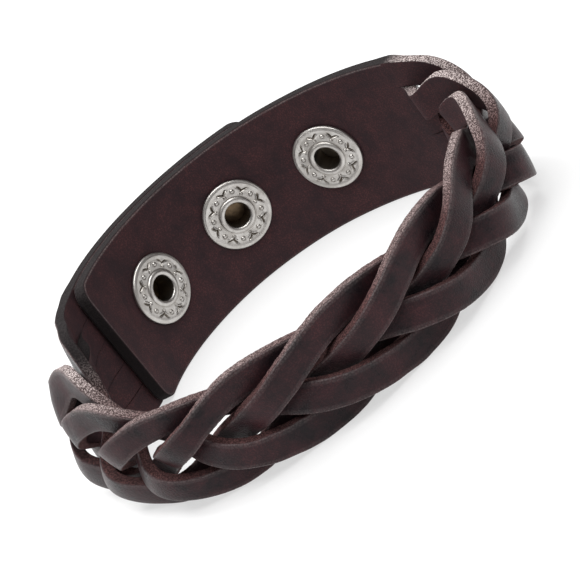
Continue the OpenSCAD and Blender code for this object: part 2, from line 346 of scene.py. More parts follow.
class Sheet:
    """A node tree with short calls for adding and joining nodes.

    COLOUR_ENDS and NUMBER_ENDS are the mix node's inputs for the two ends of the mix.
    """

    COLOUR_ENDS = (6, 7)
    NUMBER_ENDS = (2, 3)

    def __init__(self, tree: bpy.types.NodeTree) -> None:
        """Keeps the tree that the nodes go into."""
        self.tree = tree

    def add(self, kind: str, values: dict | None = None, **settings) -> bpy.types.Node:
        """Adds a node.

        Args:
            kind: Blender's name for the node's type.
            values: Value, or socket to join, for each input by name or number.
            **settings: Properties of the node itself.

        Returns:
            The new node.
        """
        node = self.tree.nodes.new(kind)
        for key, value in settings.items():
            setattr(node, key, value)
        for key, value in (values or {}).items():
            self.feed(node.inputs[key], value)
        return node

    def feed(self, socket: bpy.types.NodeSocket, value: object) -> None:
        """Joins another socket to this one, or sets its value."""
        if isinstance(value, bpy.types.NodeSocket):
            self.tree.links.new(value, socket)
        else:
            socket.default_value = value

    def math(self, operation: str, a: object, b: object, cut: bool = False) -> object:
        """One step of arithmetic on two values or sockets."""
        node = self.add("ShaderNodeMath", {0: a, 1: b}, operation=operation, use_clamp=cut)
        return node.outputs[0]

    def times(self, a: object, b: object, cut: bool = False) -> object:
        """The product of two values or sockets."""
        return self.math("MULTIPLY", a, b, cut)

    def blend(self, share: object, a: object, b: object) -> object:
        """A colour between a and b; plain colours are given as three numbers."""
        ends = [(*c, 1.0) if isinstance(c, tuple) else c for c in (a, b)]
        values = {0: share, **dict(zip(self.COLOUR_ENDS, ends))}
        return self.add("ShaderNodeMix", values, data_type="RGBA").outputs[2]

    def between(self, share: object, a: object, b: object) -> object:
        """A number between a and b."""
        values = {0: share, **dict(zip(self.NUMBER_ENDS, (a, b)))}
        return self.add("ShaderNodeMix", values, data_type="FLOAT").outputs[0]

    def span(self, value: object, low: float, high: float, to_low: float = 0.0,
             to_high: float = 1.0) -> object:
        """The value moved from one range to another and cut off at its ends."""
        values = {0: value, 1: low, 2: high, 3: to_low, 4: to_high}
        return self.add("ShaderNodeMapRange", values, clamp=True).outputs[0]

    def noise(self, vector: object, scale: object, detail: float = 4.0,
              rough: float = 0.55) -> object:
        """Cloudy noise from 0 to 1."""
        values = {"Vector": vector, "Scale": scale, "Detail": detail, "Roughness": rough}
        return self.add("ShaderNodeTexNoise", values).outputs["Fac"]

    def bump(self, shader: bpy.types.Node, height: object, look: Leather | SnapMetal) -> None:
        """Joins a bump of the finish's strength and depth to the shader."""
        relief = self.add("ShaderNodeBump", {"Height": height, "Strength": look.bump_strength,
                                             "Distance": look.bump_depth})
        self.feed(shader.inputs["Normal"], relief.outputs["Normal"])

    def mark(self, mark: Mark) -> object:
        """A per-point value of the mesh."""
        return self.add("ShaderNodeAttribute", attribute_name=mark.value).outputs["Fac"]


class FinishGroups:
    """Shader groups shared by the finishes, each built once.

    WARP and PORES are scales of noise, WARP_BY is a length in metres, CREASE a distance in
    cells, CREASE_SHARE the creases' part of the grain's height, and the pairs are the
    ranges of noise that become 0 to 1.
    """

    WARP = 1800.0
    WARP_BY = 0.00035
    CREASE = 0.16
    CREASE_SHARE = 0.6
    PORES = 9000.0
    MOTTLE = 260.0
    MOTTLE_RANGE = (0.36, 0.66)
    FLECK_SCALE = 1.7
    FLECK_EDGE = 9.0
    CLOUD_SCALE = 0.12
    CLOUD_RANGE = (0.34, 0.66)
    BLOTCH_SCALE = 0.5
    BLOTCH_RANGE = (0.35, 0.68)
    PIT_SCALE = 5.0

    @staticmethod
    def start(name: str, ins: dict[str, float], outs: tuple[str, ...]) -> tuple:
        """Opens a group with a Vector input, named number inputs and number outputs.

        Args:
            name: Name of the group.
            ins: Default of each number input.
            outs: Names of the outputs.

        Returns:
            The group, its sheet, its input node's sockets and its output node's sockets.
        """
        tree = bpy.data.node_groups.new(name, "ShaderNodeTree")
        tree.interface.new_socket("Vector", in_out="INPUT", socket_type="NodeSocketVector")
        for key, value in ins.items():
            socket = tree.interface.new_socket(key, in_out="INPUT", socket_type="NodeSocketFloat")
            socket.default_value = value
        for key in outs:
            tree.interface.new_socket(key, in_out="OUTPUT", socket_type="NodeSocketFloat")
        sheet = Sheet(tree)
        return tree, sheet, sheet.add("NodeGroupInput").outputs, sheet.add("NodeGroupOutput").inputs

    @classmethod
    def grain(cls) -> bpy.types.NodeTree:
        """Fine leather grain: shallow cells with pores, and broad soft mottling."""
        tree, sheet, ins, outs = cls.start("leather_grain", {"Cells": 2600.0}, ("Height", "Mottle"))
        place = ins["Vector"]
        warp = sheet.add("ShaderNodeTexNoise", {"Vector": place, "Scale": cls.WARP, "Detail": 3.0})
        pull = sheet.add("ShaderNodeVectorMath", {0: warp.outputs["Color"], "Scale": cls.WARP_BY},
                         operation="SCALE").outputs[0]
        pulled = sheet.add("ShaderNodeVectorMath", {0: place, 1: pull}, operation="ADD").outputs[0]
        cells = sheet.add("ShaderNodeTexVoronoi", {"Vector": pulled, "Scale": ins["Cells"]},
                          feature="DISTANCE_TO_EDGE").outputs["Distance"]
        creases = sheet.times(sheet.span(cells, 0.0, cls.CREASE), cls.CREASE_SHARE)
        pores = sheet.times(sheet.noise(place, cls.PORES, 3.0, 0.6), 1.0 - cls.CREASE_SHARE)
        sheet.feed(outs["Height"], sheet.math("ADD", creases, pores))
        mottle = sheet.noise(place, cls.MOTTLE, 5.0, 0.62)
        sheet.feed(outs["Mottle"], sheet.span(mottle, *cls.MOTTLE_RANGE))
        return tree

    @classmethod
    def fibres(cls) -> bpy.types.NodeTree:
        """Loose fibres of a flesh side or a raw edge: rough noise with sparse pale flecks."""
        tree, sheet, ins, outs = cls.start(
            "leather_fibres", {"Fineness": 3500.0, "Flecks": 0.62}, ("Height", "Fleck", "Cloud")
        )
        place, fineness = ins["Vector"], ins["Fineness"]
        sheet.feed(outs["Height"], sheet.noise(place, fineness, 6.0, 0.72))
        flecks = sheet.noise(place, sheet.times(fineness, cls.FLECK_SCALE), 2.0, 0.6)
        over = sheet.math("SUBTRACT", flecks, ins["Flecks"])
        sheet.feed(outs["Fleck"], sheet.times(over, cls.FLECK_EDGE, cut=True))
        cloud = sheet.noise(place, sheet.times(fineness, cls.CLOUD_SCALE), 4.0, 0.6)
        sheet.feed(outs["Cloud"], sheet.span(cloud, *cls.CLOUD_RANGE))
        return tree

    @classmethod
    def wear(cls) -> bpy.types.NodeTree:
        """Fine handling wear of metal: soft blotches and small pits."""
        tree, sheet, ins, outs = cls.start("metal_wear", {"Size": 1500.0}, ("Height", "Blotch"))
        place, size = ins["Vector"], ins["Size"]
        blotch = sheet.noise(place, sheet.times(size, cls.BLOTCH_SCALE), 4.0, 0.6)
        sheet.feed(outs["Blotch"], sheet.span(blotch, *cls.BLOTCH_RANGE))
        sheet.feed(outs["Height"], sheet.noise(place, sheet.times(size, cls.PIT_SCALE), 3.0, 0.6))
        return tree


class Finishes:
    """The materials, built from their finishes and the shared groups."""

    def __init__(self, leather: Leather, metal: SnapMetal, bare: SnapMetal) -> None:
        """Builds the groups, then the materials.

        Args:
            leather: Finish of the strap.
            metal: Finish of the snaps.
            bare: Finish of the snap parts inside the strap, brass darkened as painted shade where
                it shows at the bottom of the holes.
        """
        self.grain = FinishGroups.grain()
        self.fibres = FinishGroups.fibres()
        self.wear = FinishGroups.wear()
        self.leather = self.make_leather(leather)
        self.metal = self.make_metal(metal)
        self.bare = self.make_metal(bare)

    @staticmethod
    def start(name: str) -> tuple[bpy.types.Material, Sheet, bpy.types.Node, object]:
        """A material with its sheet, its shader and its Object coordinates."""
        material = bpy.data.materials.new(name)
        material.use_nodes = True
        sheet = Sheet(material.node_tree)
        shader = material.node_tree.nodes["Principled BSDF"]
        return material, sheet, shader, sheet.add("ShaderNodeTexCoord").outputs["Object"]

    @staticmethod
    def group(sheet: Sheet, tree: bpy.types.NodeTree, place: object, **values: float) -> dict:
        """Places a shared group and returns its outputs by name."""
        return sheet.add("ShaderNodeGroup", {"Vector": place, **values}, node_tree=tree).outputs

    def make_leather(self, look: Leather) -> bpy.types.Material:
        """Leather whose colour, roughness and bump change between grain, flesh and cut edge."""
        material, sheet, shader, place = self.start(look.name)
        grain = self.group(sheet, self.grain, place)
        nap, raw = (
            self.group(sheet, self.fibres, place, Fineness=fineness, Flecks=flecks)
            for fineness, flecks in (look.nap, look.raw)
        )
        high = sheet.add("ShaderNodeSeparateXYZ", {0: place}).outputs["Z"]
        # painted light: cut edges and the rim highlight are paler high up and darker low down, as
        # if lit from above
        wear_and_top_light = sheet.span(high, *look.top_light_between)
        flesh, cut, rim, waxed = (
            sheet.mark(m) for m in (Mark.FLESH, Mark.CUT, Mark.RIM, Mark.BURNISH)
        )
        top = sheet.blend(grain["Mottle"], look.grain, look.grain_warm)
        specks = sheet.times(nap["Fleck"], sheet.between(grain["Mottle"], *look.grain_specks))
        top = sheet.blend(specks, top, look.flesh_pale)
        cloudy = sheet.blend(look.flesh_cloud, look.flesh, look.flesh_pale)
        under = sheet.blend(nap["Cloud"], look.flesh, cloudy)
        specks = sheet.times(nap["Fleck"], sheet.between(nap["Cloud"], *look.flesh_specks))
        under = sheet.blend(specks, under, look.flesh_pale)
        side = sheet.blend(wear_and_top_light, look.edge, sheet.blend(look.edge_top_light_share, look.edge, look.edge_pale))
        side = sheet.blend(waxed, side, look.burnished)
        flecks = sheet.times(raw["Fleck"], sheet.between(waxed, *look.edge_flecks))
        # painted shade: edge flecks low down turn dark red-brown, and those high up turn pale
        side = sheet.blend(flecks, side, sheet.blend(wear_and_top_light, look.edge_fleck_in_shade, look.edge_pale))
        shine = sheet.times(rim, sheet.span(grain["Height"], *look.rim_between, *look.rim_shine))
        shine = sheet.times(shine, sheet.between(wear_and_top_light, look.rim_share_in_shade, 1.0))
        colour = sheet.blend(shine, sheet.blend(flesh, top, under), look.edge_pale)
        sheet.feed(shader.inputs["Base Color"], sheet.blend(cut, colour, side))
        rough = sheet.span(grain["Mottle"], 0.0, 1.0, *look.grain_roughness)
        rough = sheet.between(flesh, rough, look.flesh_roughness)
        sheet.feed(shader.inputs["Roughness"], sheet.between(cut, rough, look.edge_roughness))
        height = sheet.between(flesh, sheet.times(grain["Height"], look.grain_bump),
                               sheet.times(nap["Height"], look.flesh_bump))
        height = sheet.between(cut, height, sheet.times(raw["Height"], look.edge_bump))
        sheet.bump(shader, height, look)
        shader.inputs["Specular IOR Level"].default_value = look.specular
        return material

    def make_metal(self, look: SnapMetal) -> bpy.types.Material:
        """Snap metal that is darker in its recesses, as dirt and painted shade, and a little
        blotched by wear.
        """
        material, sheet, shader, place = self.start(look.name)
        wear = self.group(sheet, self.wear, place)
        colour = sheet.blend(wear["Blotch"], look.bright, look.wear_and_top_light)
        colour = sheet.blend(sheet.mark(Mark.RECESS), colour, look.recess)
        sheet.feed(shader.inputs["Base Color"], colour)
        rough = sheet.span(wear["Blotch"], 0.0, 1.0, *look.roughness)
        sheet.feed(shader.inputs["Roughness"], rough)
        sheet.bump(shader, wear["Height"], look)
        shader.inputs["Metallic"].default_value = 1.0
        return material


class Workshop:
    """Gives each finished piece its body and its material, and hides the solid that it stands for.
    """

    def __init__(self, finishes: Finishes) -> None:
        """Keeps the finishes."""
        self.finishes = finishes

    def hand_over(self, piece: bpy.types.Object, node: str, leather: bool) -> None:
        """Dresses one piece that replaces a solid.

        Args:
            piece: The finished piece.
            node: Name of the solid that it stands for.
            leather: Whether it is leather; otherwise it is snap metal.
        """
        piece.data.materials.append(self.finishes.leather if leather else self.finishes.metal)
        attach(piece, "root")
        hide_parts(node)
        LOG.info("%s: %d faces, stands for %s", piece.name, len(piece.data.polygons), node)


@dataclass(frozen=True)
class SnapSizes:
    """The snap parts: radii, and distances outwards from the line along each snap's axis."""

    bore: float = 1.75
    barrel: float = 2.1
    knob: float = 2.9
    neck: float = 2.6
    plate: float = 4.4
    cup: float = 3.6
    fit: float = 0.1
    plate_thickness: float = 0.5
    flange: float = 4.85
    flange_back: float = -1.85
    flange_face: float = -2.3
    collar: float = 2.55
    collar_rise: float = 0.3
    knob_top: float = 0.95
    knob_lid: float = 0.2
    barrel_gap: float = 0.1
    seat_depth: float = 0.65
    seat_play: float = 0.05
    cap: float = 6.0
    cap_seat: float = 1.5
    cap_rise: float = 1.5
    post: float = 0.9
    flange_roll: float = 0.28
    knob_roll: float = 0.22
    cap_roll: float = 0.42
    dome: float = 5.05
    dome_fall: float = 0.62
    band: Pair = (2.66, 4.42)
    crease: Pair = (2.62, 0.07)
    # painted shade down the bore: share of the recess colour at its closed end and at its mouth
    bore_dark: Pair = (0.9, 0.55)


@dataclass(frozen=True)
class Fade:
    """A value round a snap: whole as far as a radius, and gone a little further out."""

    size: float
    whole_to: float
    over: float

    def at(self, r: np.ndarray) -> np.ndarray:
        """The value at each distance from the snap."""
        return self.size * (1.0 - smooth((r - self.whole_to) / self.over))


@dataclass(frozen=True)
class TabPlan:
    """One tab: its reach along the line, its free end, its snaps and holes, and its seed."""

    low: float
    high: float
    free_low: bool
    snaps: tuple[float, ...]
    hole: float
    seed: int


@dataclass
class Tabs:
    """The two plain ends of the strap, flat at the snaps and bevelled along their cut edges.

    Each pair is where a change begins, or its middle, and how wide it is. at_edge and
    at_snap are the distances of grid lines from a cut edge and from a snap's middle.
    """

    plan: LoopPlan
    strap: StrapSizes
    snaps: SnapSizes
    shop: Workshop
    top_round: float = 0.42
    back_round: float = 0.2
    least_round: float = 0.3
    joint_calm: float = 6.0
    joint_round: float = 3.0
    snap_calm: Pair = (5.0, 3.0)
    waves: tuple[int, int] = (7, 3)
    raw: Pair = (0.02, 0.10)
    front_shine: Pair = (0.22, 0.12)
    back_shine: Pair = (0.20, 0.10)
    unevenness: float = 0.05
    wall_rows: int = 6
    wall_shake: float = 0.035
    cell: float = 0.6
    crowd: float = 0.02
    plate_play: float = 0.03
    drawn: Fade = Fade(1.0, 6.2, 1.8)
    flat: Fade = Fade(1.0, 4.9, 4.1)
    under_stud: Fade = Fade(0.14, 4.5, 0.9)
    under_flange: Fade = Fade(0.06, 4.8, 0.8)
    under_cap: Fade = Fade(0.22, 6.1, 1.3)
    at_edge: tuple[float, ...] = (0, 0.03, 0.07, 0.12, 0.18, 0.25, 0.34, 0.45, 0.6, 0.8, 1.1, 1.45,
                                  1.85, 2.4, 3.0)
    at_snap: tuple[float, ...] = (0, 0.75, 1.5, 2.2, 2.9, 3.7, 4.2, 4.44, 4.5, 4.95, 5.0, 5.5, 6.08,
                                  6.14, 6.4, 6.8, 7.3, 8.0)

    def lines(self, low: float, high: float, centres: tuple[float, ...], fine_low: bool,
              fine_high: bool) -> np.ndarray:
        """Grid lines between two ends: close together at a cut end and fixed round each snap.

        Args:
            low: First line.
            high: Last line.
            centres: Places of the snaps.
            fine_low: Whether the low end is cut.
            fine_high: Whether the high end is cut.

        Returns:
            The lines, in order.
        """
        edge, steps = np.array(self.at_edge), np.array(self.at_snap)
        middles = np.array(centres)[:, None]
        lower = low + edge if fine_low else np.array([low])
        upper = high - edge if fine_high else np.array([high])
        around = np.concatenate([middles - steps, middles + steps], axis=None)
        fixed = np.unique(np.round(np.concatenate([around, lower, upper]), 5))
        fixed = fixed[(fixed >= low) & (fixed <= high)]
        own = (abs(fixed - middles) <= steps.max() + 1e-4).any(axis=0)
        inner, outer = fixed[own], fixed[~own]
        clear = np.minimum(abs(outer - inner.min()), abs(outer - inner.max())) > self.crowd
        fixed = np.unique(np.concatenate([inner, outer[clear], [low, high]]))
        pieces = [
            np.linspace(a, b, int(np.ceil((b - a) / self.cell)) + 1)[:-1]
            for a, b in zip(fixed[:-1], fixed[1:])
        ]
        return np.concatenate(pieces + [[high]])

    def grid(self, tab: TabPlan) -> tuple[np.ndarray, ...]:
        """The tab's grid, whose square lines round a snap are drawn in to circles.

        A point there keeps its larger distance from the snap's two middle lines as its radius.

        Args:
            tab: Reach and snaps of the tab.

        Returns:
            Places, heights, radii from the nearest snap, the shifts outwards that keep the
            leather flat at the snaps, and which cells are no hole.
        """
        middle = self.strap.width / 2
        s_lines = self.lines(tab.low, tab.high, tab.snaps, tab.free_low, not tab.free_low)
        z_lines = self.lines(0.0, self.strap.width, (middle,), True, True)
        s, z = np.meshgrid(s_lines, z_lines, indexing="ij")
        cell_s = (s[:-1, :-1] + s[1:, 1:]) / 2
        cell_z = (z[:-1, :-1] + z[1:, 1:]) / 2
        keep = np.ones(cell_s.shape, dtype=bool)
        radius = np.full(s.shape, np.inf)
        bend = np.zeros(s.shape)
        for place in tab.snaps:
            keep &= np.maximum(abs(cell_s - place), abs(cell_z - middle)) > tab.hole
            ds, dz = s - place, z - middle
            square = np.maximum(abs(ds), abs(dz))
            shrink = (square / np.maximum(np.hypot(ds, dz), 1e-9)) ** self.drawn.at(square)
            s, z = place + ds * shrink, middle + dz * shrink
            away = np.hypot(s - place, z - middle)
            radius = np.minimum(radius, away)
            bend = bend + self.flat.at(away) * (s - place) ** 2 / (2.0 * self.plan.bend(place))
        return s, z, radius, bend, keep

    def sheet(self, tab: TabPlan, faces: tuple) -> tuple[np.ndarray, np.ndarray, dict]:
        """One tab as a front and a back grid, joined by walls along its outline and its holes.

        Args:
            tab: Reach, snaps and seed of the tab.
            faces: Two functions of the radius from a snap, giving each face's own depth there.

        Returns:
            Points, quads and marks for the mesh.
        """
        half, corner = self.strap.width / 2, self.strap.corner
        s, z, radius, bend, keep = self.grid(tab)
        end, joint = (tab.low, tab.high) if tab.free_low else (tab.high, tab.low)
        near, from_joint = abs(s - end), abs(s - joint)
        z = half + (z - half) * (half - quarter_fall(corner, near)) / half
        side = half - abs(z - half)
        in_corner = (near < corner) & (side < corner)
        round_way = corner - np.hypot(corner - near, corner - side)
        depth = np.maximum(np.where(in_corner, round_way, np.minimum(near, side)), 0.0)
        calm_from, calm_over = self.snap_calm
        calm = smooth(from_joint / self.joint_calm) * smooth((radius - calm_from) / calm_over)
        body = bend + self.unevenness * wander(s.shape, self.waves, tab.seed) * calm
        soft = self.least_round + (1 - self.least_round) * smooth(from_joint / self.joint_round)
        front = (faces[0](radius) + body - quarter_fall(self.top_round * soft, depth)).ravel()
        back = (faces[1](radius) + body + quarter_fall(self.back_round * soft, depth)).ravel()
        s, z, side, depth = s.ravel(), z.ravel(), side.ravel(), depth.ravel()
        number = np.arange(s.size).reshape(radius.shape)
        quads = np.stack(self.corners(number), axis=-1)[keep]
        edges = self.boundary(number, keep)
        rim = np.unique(edges)
        first, last = np.searchsorted(rim, edges).T
        inside = self.wall_rows - 1
        own = 2 * s.size + np.arange(inside * len(rim)).reshape(inside, len(rim))
        rows = [rim, *own, rim + s.size]
        walls = [
            np.stack([p[last], q[last], q[first], p[first]], axis=-1)
            for p, q in zip(rows[:-1], rows[1:])
        ]
        share = np.linspace(0.0, 1.0, self.wall_rows + 1)[1:-1]
        shake = np.random.default_rng(tab.seed + 5).uniform(-1.0, 1.0, own.shape)
        outward = np.sign(z[rim] - half) * (side[rim] < 0.01)
        wall_z = (z[rim] + outward * shake * self.wall_shake).ravel()
        wall_h = mix(front[rim], back[rim], share[:, None]).ravel()
        points = self.plan.place(
            np.concatenate([s, s, np.tile(s[rim], inside)]),
            np.concatenate([front, back, wall_h]),
            np.concatenate([z, z, np.maximum(wall_z, 0.0)]),
        )
        ones, walled = np.ones(s.size), np.ones(own.size)
        raw_to, raw_over = self.raw
        raw = 1.0 - smooth((depth - raw_to) / raw_over)
        shine = bump(depth, *self.front_shine), 0.6 * bump(depth, *self.back_shine)
        marks = {
            Mark.FLESH: np.concatenate([0 * ones, ones, 0.5 * walled]),
            Mark.CUT: np.concatenate([raw, raw, walled]),
            Mark.RIM: np.concatenate([*shine, 0 * walled]),
            Mark.BURNISH: np.concatenate([ones, ones, walled]),
        }
        return points, np.concatenate([quads, quads[:, ::-1] + s.size, *walls]), marks

    @staticmethod
    def corners(grid: np.ndarray) -> tuple[np.ndarray, ...]:
        """Values at the four corners of every cell of a grid, in order round the cell."""
        return grid[:-1, :-1], grid[1:, :-1], grid[1:, 1:], grid[:-1, 1:]

    @classmethod
    def boundary(cls, number: np.ndarray, keep: np.ndarray) -> np.ndarray:
        """Directed edges of the kept cells that have no neighbour, as pairs of point numbers."""
        full = np.pad(keep, 1)
        beyond = (full[1:-1, :-2], full[2:, 1:-1], full[1:-1, 2:], full[:-2, 1:-1])
        around = cls.corners(number)
        sides = zip(beyond, around, around[1:] + around[:1])
        return np.concatenate([
            np.stack([p[keep & ~other], q[keep & ~other]], axis=-1) for other, p, q in sides
        ])

    def build(self) -> None:
        """Makes the inner tab and the outer tab and hands them over."""
        strap, snap = self.strap, self.snaps
        outer_back = strap.tab_gap
        outer_face = strap.tab_gap + strap.thickness
        seat = snap.plate + snap.fit - self.plate_play

        def inner_front(r: np.ndarray) -> np.ndarray:
            """Sunk under the stud's plate, and pressed in a little round it."""
            return np.where(r < seat, -snap.seat_depth, -self.under_stud.at(r))

        def inner_back(r: np.ndarray) -> np.ndarray:
            """Pressed in a little under and round the flange."""
            return -strap.thickness + self.under_flange.at(r)

        def outer_front(r: np.ndarray) -> np.ndarray:
            """Sunk under the cap, and drawn down softly round it."""
            pressed = outer_face - self.under_cap.at(r)
            return np.where(r < snap.cap + snap.fit, snap.cap_seat, pressed)

        def outer_inside(r: np.ndarray) -> np.ndarray:
            """Sunk over the socket's plate."""
            return np.where(r < seat, outer_back + snap.seat_depth, outer_back)

        inner = TabPlan(strap.inner_end, strap.plait_from, True,
                        tuple(strap.snap(i) for i in (1, 2, 3)), snap.barrel + snap.fit, 3)
        outer = TabPlan(strap.plait_to - self.plan.ends[-1], strap.outer_end, False,
                        tuple(strap.snap(i) for i in (1, 2)), snap.cup + snap.fit, 4)
        for node, tab, faces in (("inner_tab", inner, (inner_front, inner_back)),
                                 ("outer_tab", outer, (outer_front, outer_inside))):
            piece = MeshMaker.build(f"{node}_leather", *self.sheet(tab, faces))
            self.shop.hand_over(piece, node, True)


@dataclass(frozen=True)
class PlaitSizes:
    """How the five strands run, in millimetres, steps of the plait and shares."""

    # The strands' number and section. solid_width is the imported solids' width.
    count: int = 5
    solid_width: float = 3.6
    strand_width: float = 3.9
    end_width: float = 3.85
    thin_by: float = 0.32
    crown: float = 0.06
    # The plait: its height, its swing in and out, and the steps of its pattern.
    height: float = 13.6
    swing: float = 2.1
    end_swing: float = 2.26
    bow: float = 5.2
    first_step: float = -0.49
    last_step: float = 10.07
    crest_step: float = 0.815
    end_haste: float = 0.28
    sharpness: float = 0.045
    flatness: float = 0.28
    shear: float = 0.63
    end_shear: float = 0.33
    # How it begins at one tab and ends at the other.
    lead_out: float = 7.5
    climb_from: float = 1.0
    climb_in: float = 9.8
    stay_out: float = 6.9
    climb_out: float = 9.4
    swing_in: float = 6.5
    swing_out: float = 10.5
    lie_flat: float = 3.2
    end_from: float = 4.0
    end_reach: float = 24.4
    end_crest: float = 1.09
    settle_in: float = 45.0
    settle_out: float = 28.0
    joined_over: float = 4.0
    joined_round: float = 0.12
    # The looser stretch before the outer tab.
    loose_from: float = 157.0
    loose_mid: float = 177.4
    loose_swing: float = 0.57
    loose_out: float = 0.35
    loose_rise: float = 2.6
    rise_from: float = 150.0
    rise_in: float = 20.0
    rise_to: float = 187.0
    rise_out: float = 9.0
    calm_from: float = 175.0
    calm_in: float = 4.0
    calm_above: float = 13.0
    calm_over: float = 3.0
    calm_pull: float = 1.1
    # Where the strands are slimmer or wider, and how uneven they are.
    slim_by: float = 0.56
    slim_from: float = 138.5
    slim_to: float = 173.0
    slim_over: float = 8.0
    wide_by: float = 0.35
    wide_at: Pair = (90.0, 175.5)
    unevenness: float = 0.05
    fuzz: float = 0.045
    waxed_from: float = 170.0
    waxed_over: float = 5.0
    waxed_rank: int = 3


@dataclass
class Plait:
    """Five strands plaited over two and under two between the tabs."""

    plan: LoopPlan
    strap: StrapSizes
    sizes: PlaitSizes
    shop: Workshop
    stations: int = 620
    grain_round: float = 0.26
    flesh_round: float = 0.12
    width_waves: int = 60
    width_seed: int = 40
    fuzz_waves: int = 460
    fuzz_seed: int = 70
    probe: float = 0.05

    def inside(self, s: np.ndarray, after: float, rise: float, before: float,
               fall: float) -> np.ndarray:
        """A value that rises from 0 to 1 past the first tab and falls back before the other.

        Args:
            s: Places along the line.
            after: Where the rise begins, counted from the first tab's end.
            rise: Length of the rise.
            before: Where the fall ends, counted back from the other tab's end.
            fall: Length of the fall.

        Returns:
            The value at each place.
        """
        rising = smooth((s - self.strap.plait_from - after) / rise)
        return rising * smooth((self.strap.plait_to - before - s) / fall)

    def share(self, s: np.ndarray) -> np.ndarray:
        """Share of the plait's length done at s."""
        first = self.strap.plait_from
        return clamp((s - first) / (self.strap.plait_to - self.sizes.lead_out - first))

    def near_end(self, s: np.ndarray) -> np.ndarray:
        """How near s is to a tab, from 0 in the middle of the plait to 1."""
        start, reach = self.sizes.end_from, self.sizes.end_reach
        rising = smooth((s - self.strap.plait_from - start) / reach)
        return 2.0 - rising - smooth((self.strap.plait_to - start - s) / reach)

    def phase(self, k: int, s: np.ndarray) -> np.ndarray:
        """Angle of strand k's swing at s: quicker near the tabs than on the near side."""
        p = self.sizes
        t = self.share(s)
        haste = p.end_haste * np.sin(2 * np.pi * t) / (2 * np.pi)
        step = p.first_step + (p.last_step - p.first_step) * (t + haste)
        return 2 * np.pi / p.count * (step - p.crest_step + k)

    def wave(self, a: np.ndarray) -> np.ndarray:
        """A cosine with a slightly sharper crest."""
        return (np.cos(a) + self.sizes.sharpness * np.cos(3 * a)) / (1 + self.sizes.sharpness)

    def rank(self, k: int, step: float) -> int:
        """Place of strand k across the strap at a step, 0 lowest."""
        p = self.sizes
        angles = 2 * np.pi / p.count * (step - p.crest_step + np.arange(p.count))
        heights = self.wave(angles)
        return int((heights < heights[k]).sum())

    def height(self, k: int, s: np.ndarray) -> np.ndarray:
        """Height of strand k's middle: its place in the tab, then its wave across the plait."""
        p, strap = self.sizes, self.strap
        ranks = np.where(self.share(s) < 0.5, self.rank(k, 0.0), self.rank(k, p.last_step))
        place = (ranks - (p.count - 1) / 2) * strap.width / p.count
        plaited = self.inside(s, p.climb_from, p.climb_in, p.stay_out, p.climb_out)
        settled = self.inside(s, 0.0, p.settle_in, 0.0, p.settle_out)
        crest = (p.height - p.solid_width) / 2 + p.end_crest * self.near_end(s)
        drop = (strap.width - p.height) / 2
        wave = self.wave(self.phase(k, s))
        rise = smooth((s - p.rise_from) / p.rise_in) * smooth((p.rise_to - s) / p.rise_out)
        swing = crest * wave - drop * settled + p.loose_rise * rise * np.maximum(wave, 0.0)
        return strap.width / 2 + (1 - plaited) * place + plaited * swing

    def out(self, k: int, s: np.ndarray, z: np.ndarray) -> np.ndarray:
        """Distance of strand k outwards from the line: over and under the others, and bowed."""
        p, strap = self.sizes, self.strap
        near = self.near_end(s)
        lean = (z - self.height(k, s)) * np.sin(self.phase(k, s))
        a = self.phase(k, s - mix(p.shear, p.end_shear, near) * lean)
        weave = np.sin(2 * a) - p.flatness * np.sin(4 * a)
        loose = smooth((s - p.loose_from) / (p.loose_mid - p.loose_from))
        loose = loose * smooth((strap.plait_to - s) / (strap.plait_to - p.loose_mid))
        middles = (-strap.thickness / 2, strap.tab_gap + strap.thickness / 2)
        middle = mix(*middles, smooth(self.share(s)))
        middle = middle + (p.bow * (1 - z / strap.width) + p.loose_out) * loose
        held = self.inside(s, 0.0, p.swing_in, p.lie_flat, p.swing_out)
        calm = smooth((s - p.calm_from) / p.calm_in) * smooth((z - p.calm_above) / p.calm_over)
        over = weave + (p.loose_swing * loose - calm) * np.maximum(weave, 0.0)
        return middle + (mix(p.swing, p.end_swing, near) * over - p.calm_pull * calm) * held

    @staticmethod
    def section() -> dict[str | Mark, np.ndarray]:
        """The strand's section as one closed ring, from the middle of the grain face round.

        Each point is a share of the flat half width plus a share of the corner's radius
        across, and the same through the leather. The upper half has five runs: grain face,
        grain corner, cut wall, flesh corner and flesh face. The lower half mirrors it.

        Returns:
            Across and through values by name, and each mark's values, for the ring's points.
        """
        face = (np.arange(7) + 0.5) / 7.5
        turn, back_turn = np.radians(np.linspace(0, 90, 6)), np.radians(np.linspace(90, 0, 4))
        turned, back_turned = turn / np.pi * 2, back_turn / np.pi * 2
        wall = np.linspace(0.0, 1.0, 7)[1:-1]
        counts = (len(face), len(turn), len(wall), len(back_turn), len(face))

        def runs(*values: object) -> np.ndarray:
            """One value, or one for each point, for each of the five runs."""
            return np.concatenate([np.broadcast_to(v, n) for v, n in zip(values, counts)])

        odd = {
            "across": runs(face, 1, 1, 1, face[::-1]),
            "round_u": runs(0, np.sin(turn), 1, np.sin(back_turn), 0),
        }
        even = {
            "grain": runs(1, 1, 1 - wall, 0, 0),
            "round_v": runs(1, np.cos(turn), 0, -np.cos(back_turn), -1),
            Mark.FLESH: runs(0, np.linspace(0, 0.4, 6), np.linspace(0.45, 0.6, 5),
                             np.linspace(0.7, 1, 4), 1),
            Mark.CUT: runs(0, smooth((turned - 0.55) / 0.45), 1,
                           smooth((back_turned - 0.2) / 0.6), 0),
            Mark.RIM: runs([0, 0, 0, 0, 0, 0, 0.35], bump(turned, 0.35, 0.35), 0, 0, 0),
        }
        ring = {name: np.concatenate([row, -row[::-1]]) for name, row in odd.items()}
        return ring | {name: np.concatenate([row, row[::-1]]) for name, row in even.items()}

